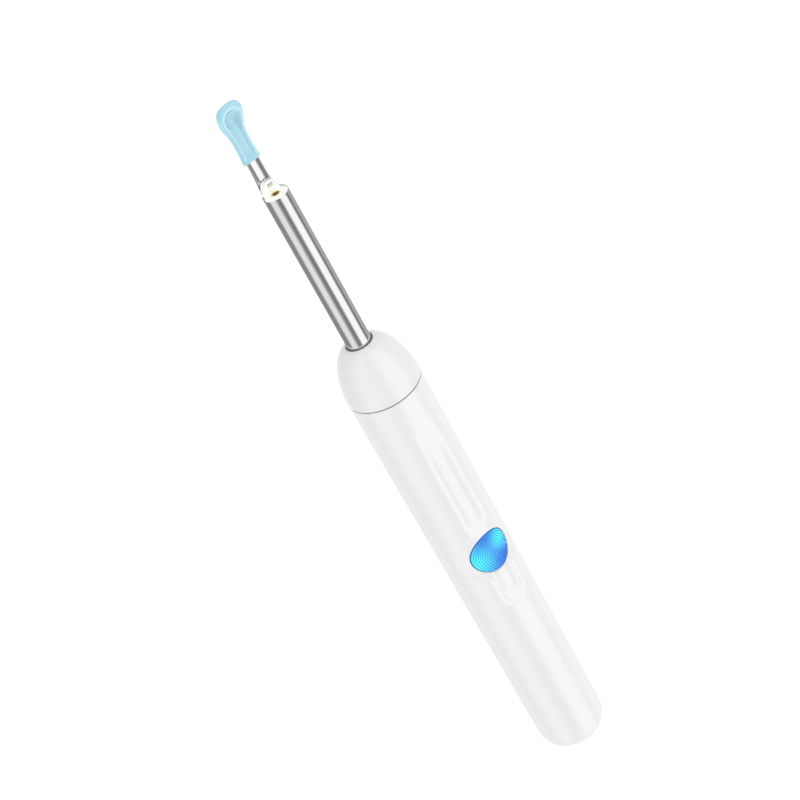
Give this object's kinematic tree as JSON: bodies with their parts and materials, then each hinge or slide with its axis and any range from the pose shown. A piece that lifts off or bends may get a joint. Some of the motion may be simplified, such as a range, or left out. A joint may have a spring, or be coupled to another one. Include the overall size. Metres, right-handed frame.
{
  "type": "ear wax cleaner",
  "caption": "Pen-shaped camera ear wax cleaner: white handle with a blue press button, steel camera probe, pull-off silicone ear spoon and a charging socket in the tail.",
  "frame": {"origin": "centre of the flat tail end, which the pen stands on", "axes": "+Z along the pen from the tail to the spoon; -Y is the front, where the button is; the probe's tongue is at +Y"},
  "size_m": [0.013, 0.013, 0.1422],
  "materials": {
    "white_shell": "smooth white ABS, satin to gloss",
    "white_nose": "white ABS, fine satin",
    "dark_seal": "dark grey silicone rubber",
    "steel_tube": "polished stainless steel",
    "turned_metal": "turned brass",
    "clear_guide": "milky clear polycarbonate",
    "lens_glass": "coated camera glass",
    "lens_barrel": "dark anodised look with a warm ring",
    "led_phosphor": "grey-green lamp package",
    "led_white": "white lamp package with yellow phosphor",
    "board_green": "solder mask over glass fibre",
    "flex_amber": "polyimide flex",
    "connector_tan": "connector housing",
    "chip_black": "moulded package",
    "can_metal": "tinned shield can",
    "ceramic_part": "sintered ceramic part",
    "ferrite": "ferrite and resin",
    "gold_contact": "gold-plated contact",
    "solder": "solder",
    "inner_frame": "glass-filled nylon",
    "screw_steel": "zinc-plated steel",
    "cell_wrap": "laminated pouch foil",
    "foam_tape": "double-sided foam tape",
    "lead_black": "wire insulation",
    "lead_red": "wire insulation",
    "switch_metal": "switch cover",
    "switch_black": "switch actuator",
    "button_blue": "glossy cyan to blue, fine ridges",
    "port_steel": "nickel-plated socket shell",
    "port_black": "socket insulator",
    "spoon_silicone": "translucent light blue silicone"
  },
  "bodies": {
    "pen": {"battery": "cell_wrap", "battery_lead_black": "lead_black", "battery_lead_red": "lead_red", "battery_pads": "solder", "battery_tape": "foam_tape", "board_screws": "screw_steel", "body_shell": "white_shell", "camera_flex": "flex_amber", "camera_lens": "lens_glass", "charger_chip": "chip_black", "chassis": "inner_frame", "chip_antenna": "ceramic_part", "chip_capacitors": "ceramic_part", "crystal": "can_metal", "flash_chip": "chip_black", "flex_connector": "connector_tan", "image_sensor": "chip_black", "led_board": "board_green", "lens_barrel": "lens_barrel", "light_guide": "clear_guide", "main_board": "board_green", "motion_sensor": "chip_black", "nose_cone": "white_nose", "nose_o_ring": "dark_seal", "port_gasket": "dark_seal", "power_inductors": "ferrite", "probe_leds": "led_white", "probe_tube": "steel_tube", "protection_board": "board_green", "ramp_led": "led_phosphor", "retaining_nut": "turned_metal", "rf_shield": "can_metal", "seam_gasket": "dark_seal", "sensor_board": "board_green", "status_leds": "led_white", "tact_switch": "switch_metal", "tube_collar": "turned_metal", "tube_seal": "dark_seal", "usb_contacts": "gold_contact", "usb_shell": "port_steel", "usb_tongue": "port_black", "wifi_chip": "chip_black"},
    "button": {"button_cap": "button_blue"},
    "switch_plunger": {"switch_plunger": "switch_black"},
    "ear_spoon": {"ear_spoon": "spoon_silicone"}
  },
  "joints": [
    {"name": "button_press", "type": "slide", "parent": "pen", "child": "button", "axis": [0, 1, 0], "range_m": [0, 0.0003], "stiffness_N_per_m": 4000},
    {"name": "switch_plunger_travel", "type": "slide", "parent": "pen", "child": "switch_plunger", "axis": [0, 1, 0], "range_m": [0, 0.0006]},
    {"name": "spoon_pull_off", "type": "slide", "parent": "pen", "child": "ear_spoon", "axis": [0, 0, 1], "range_m": [0, 0.012]}
  ],
  "couplings": [
    {"joint": "switch_plunger_travel", "follows": "button_press", "ratio": 1}
  ]
}
